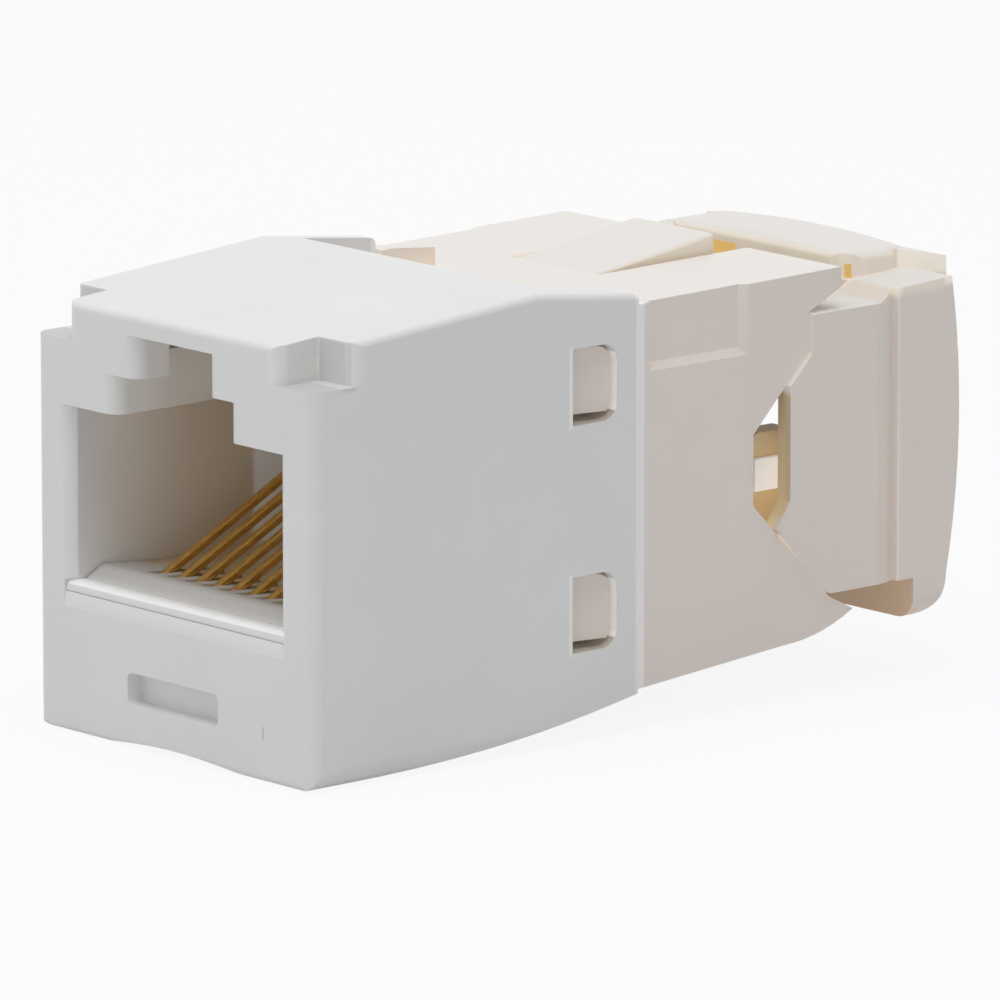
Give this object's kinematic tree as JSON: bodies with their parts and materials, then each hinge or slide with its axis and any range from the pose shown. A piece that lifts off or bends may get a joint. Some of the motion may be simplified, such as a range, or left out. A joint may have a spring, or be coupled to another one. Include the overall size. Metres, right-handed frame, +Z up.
{
  "type": "ethernet jack",
  "caption": "Snap-in modular jack with a stepped plug port, sprung gold contacts, a rear terminal base, a release tongue on top and a push-on termination cap.",
  "frame": {"origin": "middle of the plug port's mouth, on the plane of the front face", "axes": "+X across the port to the right seen from the plug, +Y into the jack towards the cable, +Z up"},
  "size_m": [0.016, 0.0332, 0.0172],
  "materials": {
    "white_plastic": "fine satin moulded white",
    "ivory_plastic": "fine satin moulded off-white, slightly translucent",
    "carrier_plastic": "satin moulded white",
    "board": "green solder mask",
    "gold_wire": "gold plated, polished",
    "terminal_metal": "tin plated, dull"
  },
  "bodies": {
    "housing": {"front_housing": "white_plastic", "rear_housing": "ivory_plastic", "contact_carrier": "carrier_plastic", "circuit_board": "board", "contact_leg_1": "gold_wire", "contact_leg_2": "gold_wire", "contact_leg_3": "gold_wire", "contact_leg_4": "gold_wire", "contact_leg_5": "gold_wire", "contact_leg_6": "gold_wire", "contact_leg_7": "gold_wire", "contact_leg_8": "gold_wire", "idc_1": "terminal_metal", "idc_2": "terminal_metal", "idc_3": "terminal_metal", "idc_4": "terminal_metal", "idc_5": "terminal_metal", "idc_6": "terminal_metal", "idc_7": "terminal_metal", "idc_8": "terminal_metal"},
    "latch": {"release_latch": "ivory_plastic"},
    "cap": {"termination_cap": "ivory_plastic"},
    "contact_1": {"contact_spring_1": "gold_wire"},
    "contact_2": {"contact_spring_2": "gold_wire"},
    "contact_3": {"contact_spring_3": "gold_wire"},
    "contact_4": {"contact_spring_4": "gold_wire"},
    "contact_5": {"contact_spring_5": "gold_wire"},
    "contact_6": {"contact_spring_6": "gold_wire"},
    "contact_7": {"contact_spring_7": "gold_wire"},
    "contact_8": {"contact_spring_8": "gold_wire"}
  },
  "joints": [
    {"name": "cap_slide", "type": "slide", "parent": "housing", "child": "cap", "axis": [0, 1, 0], "range_m": [0, 0.012]},
    {"name": "latch_flex", "type": "hinge", "parent": "housing", "child": "latch", "pos_m": [0, 0.01885, 0.00622], "axis": [-1, 0, 0], "range_deg": [0, 6], "stiffness_Nm_per_rad": 0.29},
    {"name": "contact_1_flex", "type": "hinge", "parent": "housing", "child": "contact_1", "pos_m": [-0.00356, 0.003, -0.00381], "axis": [-1, 0, 0], "range_deg": [0, 8], "stiffness_Nm_per_rad": 0.045},
    {"name": "contact_2_flex", "type": "hinge", "parent": "housing", "child": "contact_2", "pos_m": [-0.00254, 0.003, -0.00381], "axis": [-1, 0, 0], "range_deg": [0, 8], "stiffness_Nm_per_rad": 0.045},
    {"name": "contact_3_flex", "type": "hinge", "parent": "housing", "child": "contact_3", "pos_m": [-0.00152, 0.003, -0.00381], "axis": [-1, 0, 0], "range_deg": [0, 8], "stiffness_Nm_per_rad": 0.045},
    {"name": "contact_4_flex", "type": "hinge", "parent": "housing", "child": "contact_4", "pos_m": [-0.00051, 0.003, -0.00381], "axis": [-1, 0, 0], "range_deg": [0, 8], "stiffness_Nm_per_rad": 0.045},
    {"name": "contact_5_flex", "type": "hinge", "parent": "housing", "child": "contact_5", "pos_m": [0.00051, 0.003, -0.00381], "axis": [-1, 0, 0], "range_deg": [0, 8], "stiffness_Nm_per_rad": 0.045},
    {"name": "contact_6_flex", "type": "hinge", "parent": "housing", "child": "contact_6", "pos_m": [0.00152, 0.003, -0.00381], "axis": [-1, 0, 0], "range_deg": [0, 8], "stiffness_Nm_per_rad": 0.045},
    {"name": "contact_7_flex", "type": "hinge", "parent": "housing", "child": "contact_7", "pos_m": [0.00254, 0.003, -0.00381], "axis": [-1, 0, 0], "range_deg": [0, 8], "stiffness_Nm_per_rad": 0.045},
    {"name": "contact_8_flex", "type": "hinge", "parent": "housing", "child": "contact_8", "pos_m": [0.00356, 0.003, -0.00381], "axis": [-1, 0, 0], "range_deg": [0, 8], "stiffness_Nm_per_rad": 0.045}
  ]
}
